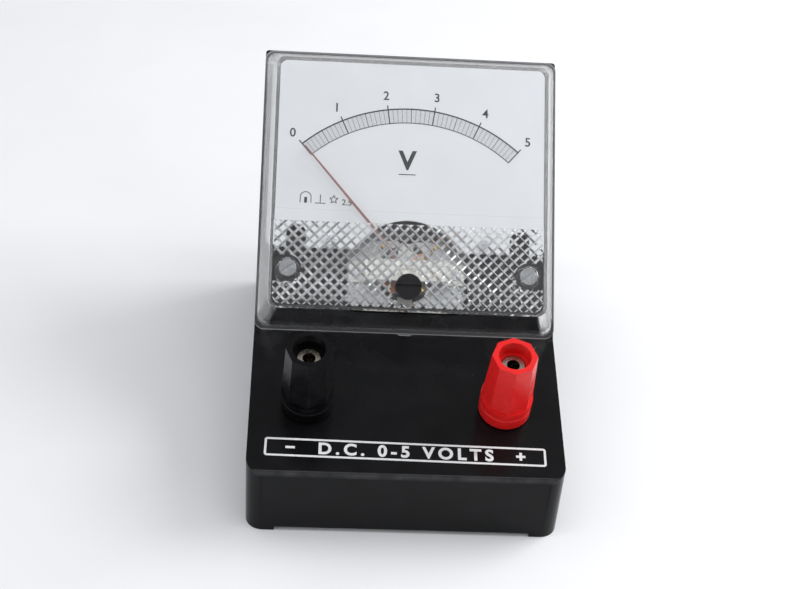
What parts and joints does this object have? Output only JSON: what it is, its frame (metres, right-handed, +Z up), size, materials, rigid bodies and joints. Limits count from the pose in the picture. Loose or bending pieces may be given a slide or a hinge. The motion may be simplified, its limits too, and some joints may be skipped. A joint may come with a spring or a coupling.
{
  "type": "voltmeter",
  "caption": "Desk-stand moving-coil voltmeter: wedge-shaped moulded stand, sloping deck with screw terminals, and a leaning dial with pointer under a clear patterned cover.",
  "frame": {"origin": "centre of the stand's footprint, on the surface the feet stand on", "axes": "+Z up, the deck and dial face -Y, +X to the reader's right"},
  "size_m": [0.098, 0.127, 0.1051],
  "materials": {
    "black_plastic": "satin",
    "black_gloss": "gloss",
    "red_gloss": "gloss",
    "clear_plastic": "gloss",
    "brass": "satin",
    "nickel_plate": "satin",
    "bronze": "satin",
    "steel": "satin",
    "tinned": "satin",
    "soft_iron": "satin",
    "magnet": "matte",
    "cast_alloy": "satin",
    "copper": "satin",
    "dial_white": "matte",
    "pointer_dark": "satin",
    "insulator": "matte",
    "resistor": "satin",
    "red_wire": "satin",
    "black_wire": "satin"
  },
  "bodies": {
    "stand": {"stand_housing": "black_plastic", "bottom_plate": "black_plastic", "bottom_screws": "steel", "black_collar": "black_gloss", "red_collar": "red_gloss", "black_stud": "nickel_plate", "red_stud": "nickel_plate", "terminal_bushes": "insulator", "terminal_washers": "steel", "solder_tags": "tinned", "terminal_nuts": "brass", "meter_cover": "clear_plastic", "cover_screws": "steel", "dial_plate": "dial_white", "dial_screws": "steel", "pointer_stops": "brass", "movement_frame": "cast_alloy", "magnet": "magnet", "pole_pieces": "soft_iron", "core": "soft_iron", "core_keys": "brass", "front_bridge": "nickel_plate", "rear_bridge": "nickel_plate", "bridge_screws": "steel", "front_jewel_screw": "brass", "rear_jewel_screw": "brass", "movement_screws": "steel", "rear_hairspring": "bronze", "series_resistor": "resistor", "red_lead": "red_wire", "black_lead": "black_wire"},
    "moving_coil": {"coil_former": "cast_alloy", "coil_winding": "copper", "coil_pivots": "steel", "hairspring_collets": "brass", "pointer": "pointer_dark", "balance_weights": "brass"},
    "zero_lever": {"zero_lever": "nickel_plate", "front_hairspring": "bronze"},
    "zero_adjuster": {"zero_adjuster": "black_gloss", "adjuster_clip": "steel"},
    "black_insert": {"black_insert": "brass"},
    "black_cap": {"black_cap": "black_gloss"},
    "red_insert": {"red_insert": "brass"},
    "red_cap": {"red_cap": "red_gloss"}
  },
  "joints": [
    {"name": "pointer_swing", "type": "hinge", "parent": "stand", "child": "moving_coil", "pos_m": [0, 0.00567, 0.04942], "axis": [0, 0.6691, -0.7431], "range_deg": [-2.5, 84.5], "stiffness_Nm_per_rad": 0.00002},
    {"name": "zero_adjuster_turn", "type": "hinge", "parent": "stand", "child": "zero_adjuster", "pos_m": [0, 0.00069, 0.04494], "axis": [0, -0.6691, 0.7431], "range_deg": [-40, 40]},
    {"name": "zero_lever_swing", "type": "hinge", "parent": "stand", "child": "zero_lever", "pos_m": [0, 0.00567, 0.04942], "axis": [0, -0.6691, 0.7431], "range_deg": [-7, 7]},
    {"name": "black_cap_lift", "type": "slide", "parent": "stand", "child": "black_insert", "axis": [0, -0.2079, 0.9781], "range_m": [0, 0.005]},
    {"name": "black_cap_turn", "type": "hinge", "parent": "black_insert", "child": "black_cap", "pos_m": [-0.031, -0.03756, 0.03001], "axis": [0, -0.2079, 0.9781], "range_deg": [0, 1801]},
    {"name": "red_cap_lift", "type": "slide", "parent": "stand", "child": "red_insert", "axis": [0, -0.2079, 0.9781], "range_m": [0, 0.005]},
    {"name": "red_cap_turn", "type": "hinge", "parent": "red_insert", "child": "red_cap", "pos_m": [0.031, -0.03756, 0.03001], "axis": [0, -0.2079, 0.9781], "range_deg": [0, 1801]}
  ],
  "couplings": [
    {"joint": "zero_lever_swing", "follows": "zero_adjuster_turn", "ratio": 0.1519},
    {"joint": "black_cap_turn", "follows": "black_cap_lift", "rad_per_m": 6283.2},
    {"joint": "red_cap_turn", "follows": "red_cap_lift", "rad_per_m": 6283.2}
  ]
}
